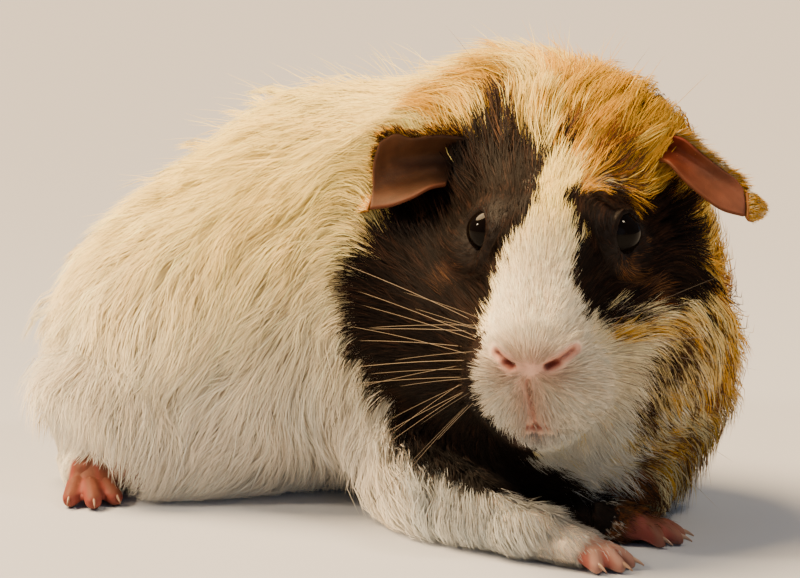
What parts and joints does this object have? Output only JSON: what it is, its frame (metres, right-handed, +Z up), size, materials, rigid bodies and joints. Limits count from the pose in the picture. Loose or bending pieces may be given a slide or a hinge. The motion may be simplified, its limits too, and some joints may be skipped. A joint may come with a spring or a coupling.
{
  "type": "guinea pig",
  "caption": "Life-size guinea pig at rest on its belly, head turned to its right, with a rough white, brown-black and ginger coat and drooping petal ears.",
  "frame": {"origin": "on the floor, under the middle of the animal's bounding box", "axes": "+Z up, -Y the way the trunk points, +X the animal's left side"},
  "size_m": [0.1292, 0.214, 0.1241],
  "materials": {
    "white_coat": "rough white hair",
    "dark_coat": "brown-black hair with a soft sheen",
    "ginger_coat": "ginger hair",
    "bare_skin": "bare pink skin",
    "ear_skin": "thin brown-red ear skin",
    "eye": "wet and glossy",
    "claw": "pale horn"
  },
  "bodies": {
    "root": {"ear_left": "ear_skin", "ear_right": "ear_skin", "eye_left": "eye", "eye_right": "eye", "fore_claw_left_1": "claw", "fore_claw_left_2": "claw", "fore_claw_left_3": "claw", "fore_claw_left_4": "claw", "fore_claw_right_1": "claw", "fore_claw_right_2": "claw", "fore_claw_right_3": "claw", "fore_claw_right_4": "claw", "foreleg_left": "white_coat", "foreleg_right": "white_coat", "forepaw_left": "bare_skin", "forepaw_right": "bare_skin", "head": "dark_coat", "hind_claw_left_1": "claw", "hind_claw_left_2": "claw", "hind_claw_left_3": "claw", "hind_claw_right_1": "claw", "hind_claw_right_2": "claw", "hind_claw_right_3": "claw", "hindfoot_left": "bare_skin", "hindfoot_right": "bare_skin", "muzzle": "white_coat", "neck": "ginger_coat", "nose": "bare_skin", "thigh_left": "white_coat", "thigh_right": "white_coat", "trunk": "white_coat"}
  },
  "joints": []
}
